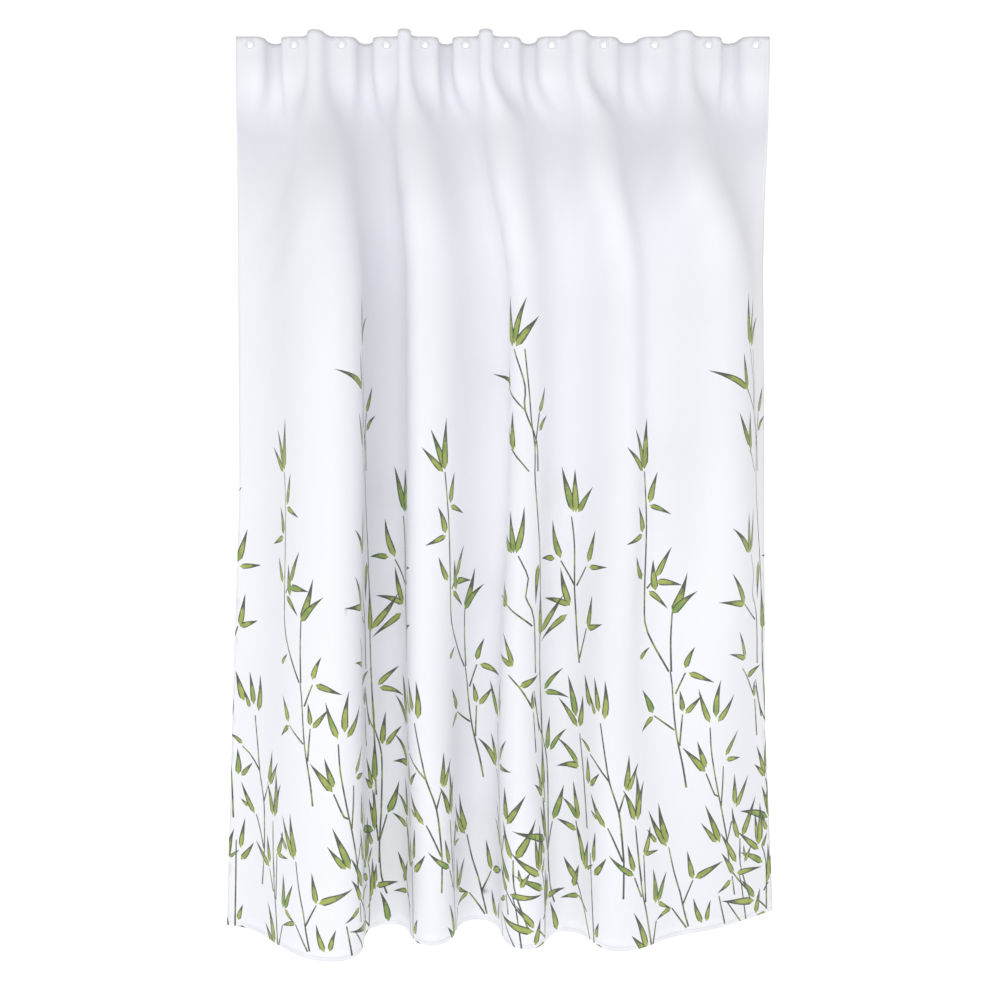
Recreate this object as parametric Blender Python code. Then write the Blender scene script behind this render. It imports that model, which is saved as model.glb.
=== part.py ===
"""Shower curtain: one printed polyester cloth with a taped header, twelve two-piece eyelets, narrow sewn hems
and a weight cord in the bottom hem.

Metres, +Z up. The origin is the middle of the line through the eyelets' centres, where the rings of a rod hold
the curtain. X runs along the rod, the front of the cloth faces -Y, and the cloth hangs down from the origin.
"""

from functools import lru_cache
from math import cos, pi, radians, sin

import bmesh
import bpy
import numpy as np

# The cloth laid flat
CLOTH_WIDTH = 1.80
DROP = 2.00
CLOTH_THICK = 0.0010
CLEAR = 0.0003
LAYER_GAP = 0.0005

# The header: a tape behind the top of the cloth, and the eyelets through both
EYELETS = 12
EDGE_TO_EYELET = 0.031
TOP_TO_EYELET = 0.020
HEADER_DEEP = 0.060
TAPE_DEEP = 0.045
TAPE_THICK = 0.0010
TAPE_BELOW_TOP = 0.002
TAPE_FROM_EDGE = 0.004
SEAT_CELLS = 4

# An eyelet
BORE_R = 0.0060
BARREL_WALL = 0.0008
FLANGE_R = 0.0112
SEAT_MARGIN = 0.0013
SEAT = FLANGE_R + SEAT_MARGIN  # half the flat square of header cloth that an eyelet sits in
FLANGE_THICK = 0.0012
WASHER_THICK = 0.0012
LIP_OUT = 0.0016
LIP_THICK = 0.0008
EYELET_SIDES = 16

# Hems, weight cord and label
SIDE_HEM_WIDE = 0.011
BOTTOM_HEM_DEEP = 0.010
HEM_THICK = 0.0010
CORD_R = 0.0010
CORD_FROM_EDGE = 0.006
LABEL_WIDE = 0.022
LABEL_HIGH = 0.045
LABEL_ABOVE_HEM = 0.150
LABEL_THICK = 0.0006

# How it hangs, each from the top of the cloth to the hem: share of the drop, left edge x, right edge x and
# how far the left edge stands forward
HANG = (
    (0.03, -0.585, 0.600, 0.0),
    (0.18, -0.583, 0.596, -0.005),
    (0.50, -0.583, 0.600, -0.015),
    (0.80, -0.606, 0.622, -0.030),
    (1.00, -0.620, 0.641, -0.041),
)

# Folds: a valley and a ridge take turns across the cloth, and each stands where the cloth has turned back to
# lie along the rod. In the header one bulges out between each two eyelets, by these angles in radians.
BULGE = (1.46, 1.34, 1.44, 1.62, 1.56, 1.56, 1.41, 1.20, 1.24, 1.13, 1.36)
# Lower down: where each valley or ridge runs, as a share of the width, then the steepest slope before, between
# and after them, and the slopes that the first and last of them keep, in degrees
MIDDLE_FOLDS = (0.0, 0.16, 0.315, 0.41, 0.53, 0.60, 0.675, 0.77, 0.803, 0.90, 0.995)
MIDDLE_SLOPES = (10, 55, -88, 88, -54, 88, -56, 48, -50, 40, -36, 0)
MIDDLE_LEAN = (-5, 0, 0, 0, 0, 0, 0, 0, 0, 0, -45)
HEM_FOLDS = (0.0, 0.183, 0.311, 0.397, 0.494, 0.603, 0.675, 0.759, 0.833, 0.889, 0.995)
HEM_SLOPES = (0, 42, -92, 72, -80, 80, -66, 62, -18, 6, -6, 0)
HEM_LEAN = (10, 0, 0, 0, 0, 0, 0, 0, -30, -22, -30)
HEADER_ENDS, MIDDLE_STARTS, HEM_STARTS = 0.03, 0.30, 0.45  # shares of the drop
SEATS_FADE = 0.11

# The mesh
SAMPLES = 1441
CELLS_PER_BULGE = 6
ROWS_BELOW_HEADER = (0.05, 0.09, 0.16, 0.26, 0.40, 0.56, 0.74, 0.90)

TOP = TOP_TO_EYELET
PITCH = (CLOTH_WIDTH - 2 * EDGE_TO_EYELET) / (EYELETS - 1)
BARREL_R = BORE_R + BARREL_WALL
HOLE_R = BARREL_R + CLEAR
TAPE_BACK = CLOTH_THICK / 2 + LAYER_GAP + TAPE_THICK / 2
HEM_BACK = CLOTH_THICK / 2 + LAYER_GAP + HEM_THICK / 2
CORD_BACK = CLOTH_THICK / 2 + CLEAR + CORD_R
BOTTOM_HEM_BACK = CORD_BACK + CORD_R + CLEAR + HEM_THICK / 2
LABEL_BACK = CLOTH_THICK / 2 + LAYER_GAP + LABEL_THICK / 2
LABEL_INNER = CLOTH_WIDTH - SIDE_HEM_WIDE - LABEL_WIDE
LABEL_LOW = TOP - DROP + LABEL_ABOVE_HEM
TAPE_LOW = TOP - TAPE_BELOW_TOP - TAPE_DEEP
HEM_HIGH = TOP - DROP + BOTTOM_HEM_DEEP

CLOTH_WHITE = (0.90, 0.91, 0.95)
EYELET_WHITE = (0.88, 0.89, 0.92)
TAPE_WHITE = (0.86, 0.87, 0.90)
CORD_GREY = (0.55, 0.56, 0.58)


def ramp(low, high, value):
    """0 below low, 1 above high and a smooth rise between."""
    u = min(max((value - low) / (high - low), 0.0), 1.0)
    return u * u * (3 - 2 * u)


def eyelet_s(i):
    """How far eyelet i is from the cloth's left edge, along the cloth."""
    return EDGE_TO_EYELET + i * PITCH


def header_slopes(fold):
    """Slope in the header: level at each eyelet's seat, with one bulge between two eyelets."""
    gap = np.abs(fold - np.round(fold))
    reach = 0.5 - (SEAT + 0.0025) / PITCH
    size = np.array(BULGE)[np.clip(np.round(fold).astype(int), 0, len(BULGE) - 1)]
    inside = (gap < reach) & (fold > -0.5) & (fold < len(BULGE) - 0.5)
    return np.where(inside, size * np.sin(pi * gap / reach), 0.0)


def free_slopes(fold, slopes, lean):
    """Slope between a valley and a ridge, from its steepest value, on top of the lean at each of them."""
    between = np.array(slopes)[np.clip(np.floor(fold).astype(int) + 1, 0, len(slopes) - 1)]
    level = np.interp(fold, np.arange(len(lean)), lean)
    return np.radians(level + between * np.sin(pi * (fold - np.floor(fold))))


@lru_cache(maxsize=None)
def row(t):
    """The cloth's line at a share t of the drop: s along the cloth, x, y and the slope towards the front."""
    s = np.linspace(0.0, CLOTH_WIDTH, SAMPLES)
    to_middle = ramp(HEADER_ENDS, MIDDLE_STARTS, t)
    to_hem = ramp(HEM_STARTS, 1.0, t)
    seats = 1 - ramp(HEADER_ENDS, SEATS_FADE, t)
    at_top = (np.arange(EYELETS - 1) + 0.5) * PITCH + EDGE_TO_EYELET
    at_middle = np.array(MIDDLE_FOLDS) * CLOTH_WIDTH
    at_hem = np.array(HEM_FOLDS) * CLOTH_WIDTH
    lines = (at_top * (1 - to_middle) + at_middle * to_middle) * (1 - to_hem) + at_hem * to_hem
    first, last = 2 * lines[0] - lines[1], 2 * lines[-1] - lines[-2]
    fold = np.interp(s, np.concatenate([[first], lines, [last]]), np.arange(-1, EYELETS))
    side = np.where(np.floor(fold).astype(int) % 2 == 0, 1.0, -1.0)
    wave = 0.85 * np.mean(BULGE) * np.sin(pi * (fold - np.floor(fold)))
    top = side * (seats * header_slopes(fold) + (1 - seats) * wave)
    middle = free_slopes(fold, MIDDLE_SLOPES, MIDDLE_LEAN)
    hem = free_slopes(fold, HEM_SLOPES, HEM_LEAN)
    slope = (top * (1 - to_middle) + middle * to_middle) * (1 - to_hem) + hem * to_hem
    share, left, right, forward = (np.array(column) for column in zip(*HANG))
    start, end = np.interp(t, share, left), np.interp(t, share, right)
    low, high = 0.3, 2.5
    for _ in range(40):  # folds as deep as it takes to hang this wide
        gain = (low + high) / 2
        if np.cos(gain * slope).mean() * CLOTH_WIDTH > end - start:
            low = gain
        else:
            high = gain
    slope = slope * gain
    step = s[1] - s[0]
    along = np.concatenate([[0.0], np.cumsum(np.cos((slope[1:] + slope[:-1]) / 2) * step)])
    ahead = np.concatenate([[0.0], np.cumsum(np.sin((slope[1:] + slope[:-1]) / 2) * step)])
    return s, start + along, -(np.interp(t, share, forward) + ahead), slope


def centred(x):
    """x counted from the middle between the first and the last eyelet."""
    s, xs, _, _ = row(0.0)
    return x - (np.interp(eyelet_s(0), s, xs) + np.interp(eyelet_s(EYELETS - 1), s, xs)) / 2


def place(s, z, back=0.0):
    """The point of the cloth at s along its width and height z, moved back from its middle layer."""
    t = min(max((TOP - z) / DROP, 0.0), 1.0)
    line, xs, ys, slopes = row(round(t, 6))
    x, y, slope = (float(np.interp(s, line, values)) for values in (xs, ys, slopes))
    return (float(centred(x)) + back * sin(slope), y + back * cos(slope), z)


def material(name, colour, roughness, metallic=0.0):
    made = bpy.data.materials.new(name)
    made.use_nodes = True
    shader = made.node_tree.nodes["Principled BSDF"]
    shader.inputs["Base Color"].default_value = (*colour, 1.0)
    shader.inputs["Roughness"].default_value = roughness
    shader.inputs["Metallic"].default_value = metallic
    return made


def shown(name, mesh, paint):
    """The mesh as an object with its own material."""
    mesh.materials.append(paint)
    thing = bpy.data.objects.new(name, mesh)
    bpy.context.scene.collection.objects.link(thing)
    mesh.shade_smooth()
    mesh.set_sharp_from_angle(angle=radians(40))
    return thing


def layer(name, columns, heights, back, thick, paint, holes=()):
    """A layer of cloth: a grid over s and z, given its thickness, with a round hole at each s in holes."""
    flat = bmesh.new()
    grid = [[flat.verts.new(place(s, z, back)) for s in columns] for z in heights]
    half = SEAT_CELLS // 2
    middle_row = min(range(len(heights)), key=lambda r: abs(heights[r]))
    open_cells = set()
    for s in holes:
        middle = min(range(len(columns)), key=lambda c: abs(columns[c] - s))
        rim = [(-half, k) for k in range(-half, half)] + [(k, half) for k in range(-half, half)]
        rim += [(half, -k) for k in range(-half, half)] + [(-k, -half) for k in range(-half, half)]
        outer = [grid[middle_row + r][middle + c] for r, c in rim]
        inner = []
        for r, c in rim:
            away = (r * r + c * c) ** 0.5
            inner.append(flat.verts.new(place(s + HOLE_R * c / away, -HOLE_R * r / away, back)))
        for k in range(len(rim)):
            n = (k + 1) % len(rim)
            flat.faces.new((outer[k], inner[k], inner[n], outer[n]))
        open_cells |= {(middle_row + r, middle + c) for r in range(-half, half) for c in range(-half, half)}
    for r in range(len(heights) - 1):
        for c in range(len(columns) - 1):
            if (r, c) not in open_cells:  # cut the same way in every layer, so that layers stay apart
                flat.faces.new((grid[r][c], grid[r + 1][c], grid[r + 1][c + 1]))
                flat.faces.new((grid[r][c], grid[r + 1][c + 1], grid[r][c + 1]))
    bmesh.ops.delete(flat, geom=[v for v in flat.verts if not v.link_faces], context="VERTS")
    bmesh.ops.recalc_face_normals(flat, faces=flat.faces)
    mesh = bpy.data.meshes.new(name)
    flat.to_mesh(mesh)
    flat.free()
    thing = shown(name, mesh, paint)
    solid = thing.modifiers.new("Thickness", "SOLIDIFY")
    solid.thickness = thick
    solid.offset = 0.0
    return thing


def cloth_columns():
    """Every s that a grid column can stand at: edges, hems, eyelet seats and even steps between."""
    marks = [0.0, SIDE_HEM_WIDE, CLOTH_WIDTH - SIDE_HEM_WIDE, CLOTH_WIDTH]
    for i in range(EYELETS):
        marks += list(eyelet_s(i) + np.linspace(-SEAT, SEAT, SEAT_CELLS + 1))
        if i + 1 < EYELETS:
            bulge = np.linspace(eyelet_s(i) + SEAT, eyelet_s(i + 1) - SEAT, CELLS_PER_BULGE + 1)
            marks += list(bulge[1:-1])
    return apart(marks)


def cloth_heights():
    """Every height that a grid row can stand at, from the top down."""
    marks = [TOP, TAPE_LOW, TOP - HEADER_DEEP, HEM_HIGH, TOP - DROP]
    marks += list(np.linspace(-SEAT, SEAT, SEAT_CELLS + 1))
    marks += [TOP - share * DROP for share in ROWS_BELOW_HEADER]
    return apart(marks)[::-1]


def apart(marks):
    """The marks in rising order, without any that stands nearly where another does."""
    kept = []
    for mark in sorted(marks):
        if not kept or mark - kept[-1] > CLEAR:
            kept.append(mark)
    return kept


def within(marks, low, high):
    """The marks from low to high, with both ends drawn in so that the layer clears its neighbours."""
    middle = [mark for mark in marks if low + 2 * CLEAR < mark < high - 2 * CLEAR]
    ends = sorted([low + CLEAR, high - CLEAR], reverse=marks[0] > marks[-1])
    return [ends[0], *middle, ends[1]]


def turned(name, profile, paint, at):
    """A closed profile of (radius, y) points turned about Y, standing at a point."""
    mesh = bpy.data.meshes.new(name)
    shape = bmesh.new()
    rings = []
    for k in range(EYELET_SIDES):
        a = 2 * pi * k / EYELET_SIDES
        rings.append([shape.verts.new((r * cos(a), y, r * sin(a))) for r, y in profile])
    for k in range(EYELET_SIDES):
        here, there = rings[k], rings[(k + 1) % EYELET_SIDES]
        for p in range(len(profile)):
            q = (p + 1) % len(profile)
            shape.faces.new((here[p], here[q], there[q], there[p]))
    bmesh.ops.recalc_face_normals(shape, faces=shape.faces)
    shape.to_mesh(mesh)
    shape.free()
    thing = shown(name, mesh, paint)
    thing.location = at
    return thing


def grommet(i, paint):
    """An eyelet's front: a flange on the cloth's face, and a barrel through to a lip rolled over the washer."""
    face = -CLOTH_THICK / 2 - CLEAR
    washer_front = TAPE_BACK + TAPE_THICK / 2 + CLEAR
    lip = washer_front + WASHER_THICK + CLEAR
    profile = (
        (BORE_R, face - FLANGE_THICK),
        (FLANGE_R - 0.0006, face - FLANGE_THICK),
        (FLANGE_R, face - FLANGE_THICK + 0.0006),
        (FLANGE_R, face),
        (BARREL_R, face),
        (BARREL_R, lip),
        (BARREL_R + LIP_OUT, lip),
        (BARREL_R + LIP_OUT - 0.0004, lip + LIP_THICK),
        (BORE_R, lip + LIP_THICK),
    )
    return turned(f"eyelet_{i + 1:02d}_grommet", profile, paint, place(eyelet_s(i), 0.0))


def washer(i, paint):
    """An eyelet's back: a flat ring round the barrel, behind the tape."""
    front = TAPE_BACK + TAPE_THICK / 2 + CLEAR
    inner = BARREL_R + CLEAR
    profile = (
        (inner, front),
        (FLANGE_R, front),
        (FLANGE_R, front + WASHER_THICK / 2),
        (FLANGE_R - 0.0005, front + WASHER_THICK),
        (inner, front + WASHER_THICK),
    )
    return turned(f"eyelet_{i + 1:02d}_washer", profile, paint, place(eyelet_s(i), 0.0))


def cloth_panel(paint):
    centres = [eyelet_s(i) for i in range(EYELETS)]
    return layer("cloth_panel", cloth_columns(), cloth_heights(), 0.0, CLOTH_THICK, paint, centres)


def header_tape(paint):
    heights = within(cloth_heights(), TAPE_LOW, TOP - TAPE_BELOW_TOP)
    columns = within(cloth_columns(), TAPE_FROM_EDGE, CLOTH_WIDTH - TAPE_FROM_EDGE)
    centres = [eyelet_s(i) for i in range(EYELETS)]
    return layer("header_tape", columns, heights, TAPE_BACK, TAPE_THICK, paint, centres)


def side_hem(name, low, high, paint):
    """The cloth's edge, turned over to the back from below the tape to above the bottom hem."""
    columns = within(cloth_columns(), low, high)
    heights = within(cloth_heights(), HEM_HIGH, TAPE_LOW)
    return layer(name, columns, heights, HEM_BACK, HEM_THICK, paint)


def bottom_hem(paint):
    """The cloth's lower edge, turned over to the back round the weight cord."""
    columns = within(cloth_columns(), 0.0, CLOTH_WIDTH)
    heights = within(cloth_heights(), TOP - DROP, HEM_HIGH)
    return layer("bottom_hem", columns, heights, BOTTOM_HEM_BACK, HEM_THICK, paint)


def hem_weight_cord(paint):
    """The round cord that lies in the bottom hem and holds the cloth down."""
    curve = bpy.data.curves.new("hem_weight_cord", "CURVE")
    curve.dimensions = "3D"
    curve.bevel_depth = CORD_R
    curve.bevel_resolution = 2
    curve.use_fill_caps = True
    line = curve.splines.new("POLY")
    spots = within(cloth_columns(), CORD_FROM_EDGE, CLOTH_WIDTH - CORD_FROM_EDGE)
    line.points.add(len(spots) - 1)
    middle = TOP - DROP + BOTTOM_HEM_DEEP / 2
    for point, s in zip(line.points, spots):
        point.co = (*place(s, middle, CORD_BACK), 1.0)
    curve.materials.append(paint)
    thing = bpy.data.objects.new("hem_weight_cord", curve)
    bpy.context.scene.collection.objects.link(thing)
    return thing


def care_label(paint):
    """The blank washing label, caught in the right side hem at the back."""
    columns = within(cloth_columns(), LABEL_INNER, CLOTH_WIDTH - SIDE_HEM_WIDE)
    heights = within(cloth_heights(), LABEL_LOW, LABEL_LOW + LABEL_HIGH)
    return layer("care_label", columns, heights, LABEL_BACK, LABEL_THICK, paint)


def main():
    for thing in list(bpy.data.objects):
        bpy.data.objects.remove(thing)
    cloth_panel(material("printed_cloth", CLOTH_WHITE, 0.55))
    header_tape(material("tape", TAPE_WHITE, 0.8))
    hem_paint = material("hem_cloth", CLOTH_WHITE, 0.6)
    side_hem("left_side_hem", 0.0, SIDE_HEM_WIDE, hem_paint)
    side_hem("right_side_hem", CLOTH_WIDTH - SIDE_HEM_WIDE, CLOTH_WIDTH, hem_paint)
    bottom_hem(hem_paint)
    hem_weight_cord(material("weight_cord", CORD_GREY, 0.7))
    care_label(material("label", TAPE_WHITE, 0.6))
    eyelet_paint = material("eyelet", EYELET_WHITE, 0.3)
    for i in range(EYELETS):
        grommet(i, eyelet_paint)
        washer(i, eyelet_paint)


if __name__ == "__main__":
    main()
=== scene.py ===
"""Printed shower curtain: the finished look of the cloth, its print, hems, stitching and eyelets."""

import random
from math import cos, hypot, pi, radians, sin

import bmesh
import bpy
import numpy as np
from bpy.props import FloatProperty, FloatVectorProperty, IntProperty, PointerProperty
from mathutils import Matrix, Vector, noise
from mathutils.geometry import delaunay_2d_cdt


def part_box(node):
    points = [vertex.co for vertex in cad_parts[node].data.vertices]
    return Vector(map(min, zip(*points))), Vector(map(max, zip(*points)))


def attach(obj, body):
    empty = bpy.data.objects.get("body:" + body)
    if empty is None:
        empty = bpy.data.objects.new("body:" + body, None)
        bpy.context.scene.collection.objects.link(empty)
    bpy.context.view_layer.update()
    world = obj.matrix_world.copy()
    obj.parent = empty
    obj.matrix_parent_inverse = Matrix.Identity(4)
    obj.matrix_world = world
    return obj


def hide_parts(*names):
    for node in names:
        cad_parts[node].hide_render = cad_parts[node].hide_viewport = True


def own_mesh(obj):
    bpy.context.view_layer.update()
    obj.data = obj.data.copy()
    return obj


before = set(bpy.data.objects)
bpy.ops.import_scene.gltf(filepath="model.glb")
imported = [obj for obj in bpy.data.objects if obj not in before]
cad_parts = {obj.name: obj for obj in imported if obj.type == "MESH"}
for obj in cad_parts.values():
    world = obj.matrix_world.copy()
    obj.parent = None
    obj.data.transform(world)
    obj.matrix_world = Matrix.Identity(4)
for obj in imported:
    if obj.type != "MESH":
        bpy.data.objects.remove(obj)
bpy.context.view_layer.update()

bl_info = {
    "name": "Printed Shower Curtain",
    "version": (1, 0, 0),
    "blender": (4, 5, 0),
    "location": "3D View > Sidebar > Curtain",
    "description": "Builds a hanging shower curtain with a leaf print",
    "category": "Add Mesh",
}

# The cloth and how it is made up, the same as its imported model
EYELETS = 12
EDGE_TO_EYELET = 0.031
TOP_TO_EYELET = 0.020
SEAT = 0.0125  # half the flat square of header cloth that an eyelet sits in
BARREL_R = 0.0068
SIDE_HEM_WIDE = 0.011
BOTTOM_HEM_DEEP = 0.010
TAPE_DEEP = 0.045
TAPE_BELOW_TOP = 0.002
TAPE_FROM_EDGE = 0.004
LABEL_WIDE = 0.022
LABEL_HIGH = 0.045
LABEL_ABOVE_HEM = 0.150
LABEL_ON_HEM = 0.0035  # how far the label reaches over the side hem

# How the layers lie behind the cloth's middle, and their small gaps
LAYER_BACK = 0.0006
TAPE_THICK = 0.0007
LABEL_BACK = 0.0011
LABEL_THICK = 0.0002
HEM_INSET = 0.0002
HEM_GAP = 0.001
HEM_BULGE = 0.0024
HEM_BULGE_WIDE = 0.0022
CORD_BACK = 0.0014
CORD_R = 0.0009
CORD_ABOVE_EDGE = 0.005
CORD_FROM_SIDE = 0.008
CORD_SIDES = 10
HOLE_ROOM = 0.0003  # between an eyelet's barrel and its hole
HOLE_SIDES = 24
HOLE_CLEARING = 0.0015  # no grid points this near a barrel
HOLE_RING_R = 0.0105
THREAD_R = 0.00016
THREAD_SHARE = 0.41  # half a stitch, as a share of the step between two
STITCH_FROM_SIDE = 0.005

# How finely the pieces are cut: columns and rows
TAPE_GRID = (300, 6)
SIDE_HEM_GRID = (4, 190)
BOTTOM_HEM_GRID = (420, 10)
LABEL_GRID = (8, 10)
CORD_RINGS = 700
FINE_ABOVE = 0.72  # half the cloth's rows lie above this share of its height

# Turned profiles of an eyelet: radius, and how far forward of the cloth's middle layer
GROMMET = (
    (0.0112, 0.0003), (0.0112, 0.0009), (0.0109, 0.0014), (0.0103, 0.0018), (0.0093, 0.0020),
    (0.0080, 0.0019), (0.0069, 0.0016), (0.0062, 0.0010), (0.0060, 0.0003), (0.0060, -0.0034),
    (0.0063, -0.0041), (0.0070, -0.0045), (0.0077, -0.0044), (0.0082, -0.0040), (0.0082, -0.0037),
    (0.0068, -0.0035), (0.0068, 0.0003),
)
WASHER = (
    (0.0071, -0.0011), (0.0071, -0.0033), (0.0080, -0.0034), (0.0096, -0.0030), (0.0107, -0.0024),
    (0.0112, -0.0017), (0.0112, -0.0011),
)
RING_SIDES = 48
RING_SMOOTH_ANGLE = 50

# How it hangs: share of the drop, left edge x, right edge x, how far the left edge stands forward
HANG = (
    (0.03, -0.585, 0.600, 0.0),
    (0.18, -0.583, 0.596, -0.005),
    (0.50, -0.583, 0.600, -0.015),
    (0.80, -0.606, 0.622, -0.030),
    (1.00, -0.620, 0.641, -0.041),
)
# Steepest slope of the bulge after each eyelet, in radians. Then the valleys and ridges as shares of the
# width, the steepest slope before and after each, and the lean at each, in degrees
BULGE = (1.46, 1.34, 1.44, 1.62, 1.56, 1.56, 1.41, 1.20, 1.24, 1.13, 1.36)
MIDDLE_FOLDS = (0.0, 0.16, 0.315, 0.41, 0.53, 0.60, 0.675, 0.77, 0.803, 0.90, 0.995)
MIDDLE_SLOPES = (10, 55, -88, 88, -54, 88, -56, 48, -50, 40, -36, 0)
MIDDLE_LEAN = (-5, 0, 0, 0, 0, 0, 0, 0, 0, 0, -45)
HEM_FOLDS = (0.0, 0.183, 0.311, 0.397, 0.494, 0.603, 0.675, 0.759, 0.833, 0.889, 0.995)
HEM_SLOPES = (0, 42, -92, 72, -80, 80, -66, 62, -18, 6, -6, 0)
HEM_LEAN = (10, 0, 0, 0, 0, 0, 0, 0, -30, -22, -30)
HEADER_ENDS, MIDDLE_STARTS, HEM_STARTS = 0.03, 0.30, 0.45
SEATS_FADE = 0.11
CREASE_WIDE, CREASE_SLANT, CREASE_SLANT_TOP = 0.0022, 0.0008, 0.0022
SEAT_TURN = 0.0025  # cloth between an eyelet's seat and the start of a bulge
BELOW_SEATS = 0.85  # steepness of the folds just below the seats, as a share of the mean bulge
GAIN_LOW, GAIN_HIGH, GAIN_HALVINGS = 0.3, 2.5, 40

# Colours that go with the chosen ones
FRESH_LEAF = (0.17, 0.30, 0.025)
PALE_LEAF = (0.36, 0.42, 0.06)
PALE_STEM = (0.20, 0.27, 0.025)
TAPE_WHITE = (0.80, 0.81, 0.84)
LABEL_WHITE = (0.84, 0.84, 0.82)
THREAD_WHITE = (0.80, 0.81, 0.85)
CORD_WHITE = (0.74, 0.75, 0.76)
REVERSE_INK = 0.42
STEM_INK = 0.5
SEAM_SHADE_STARTS = (0.0074, 0.0086)  # heights between which the painted shadow of the hem's puckered seam fades in, then out
SEAM_SHADE_ENDS = (0.0088, 0.0100)

# Studio
FLOOR_SIZE = 40
FLOOR_BELOW = 0.05
FLOOR_GREY = 0.9
FLOOR_GLOW = 0.55
SKY_LIGHT = 0.62
SKY_SEEN = 0.44  # extra, where the camera sees the sky
LAMP_PLACE = (-0.5, -2.8, -1.7)
LAMP_TARGET = (0, 0, -1.4)
LAMP_SIZE = (2.4, 2.0)
LAMP_WATTS = 25
CAMERA_PLACE = (-0.0062, -2.4, -0.850)
CAMERA_DOWN = 0.61
CAMERA_LENS = 38.78
CAMERA_SHIFT = -0.06


class CurtainSizes(bpy.types.PropertyGroup):
    """Sizes of the cloth and its print."""

    width: FloatProperty(name="Width", description="Cloth laid flat", default=1.80, unit="LENGTH")
    drop: FloatProperty(name="Drop", description="Top edge to hem", default=2.00, unit="LENGTH")
    thick: FloatProperty(name="Thickness", description="One layer", default=0.0004, unit="LENGTH")
    repeat: FloatProperty(name="Repeat", description="Width of the print", default=0.64, unit="LENGTH")
    leaf_wide: FloatProperty(name="Leaf", description="Half a leaf's width", default=0.0074, unit="LENGTH")
    stem_wide: FloatProperty(name="Stem", description="A stem's width", default=0.0044, unit="LENGTH")
    stitch: FloatProperty(name="Stitch", description="Length of a stitch", default=0.003, unit="LENGTH")
    columns: IntProperty(name="Columns", description="Grid columns of the cloth", default=300)
    rows: IntProperty(name="Rows", description="Grid rows of the cloth", default=100)


class CurtainColours(bpy.types.PropertyGroup):
    """Colours of the cloth, print and fittings."""

    cloth: FloatVectorProperty(
        name="Cloth", description="Bleached satin", default=(0.885, 0.89, 0.935), subtype="COLOR"
    )
    leaf: FloatVectorProperty(
        name="Leaf", description="Middle of a leaf", default=(0.27, 0.35, 0.04), subtype="COLOR"
    )
    leaf_edge: FloatVectorProperty(
        name="Leaf edge", description="Edge and tip", default=(0.018, 0.024, 0.012), subtype="COLOR"
    )
    stem: FloatVectorProperty(
        name="Stem", description="Stems", default=(0.030, 0.042, 0.012), subtype="COLOR"
    )
    eyelet: FloatVectorProperty(
        name="Eyelet", description="Eyelets", default=(0.86, 0.87, 0.90), subtype="COLOR"
    )


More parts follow.
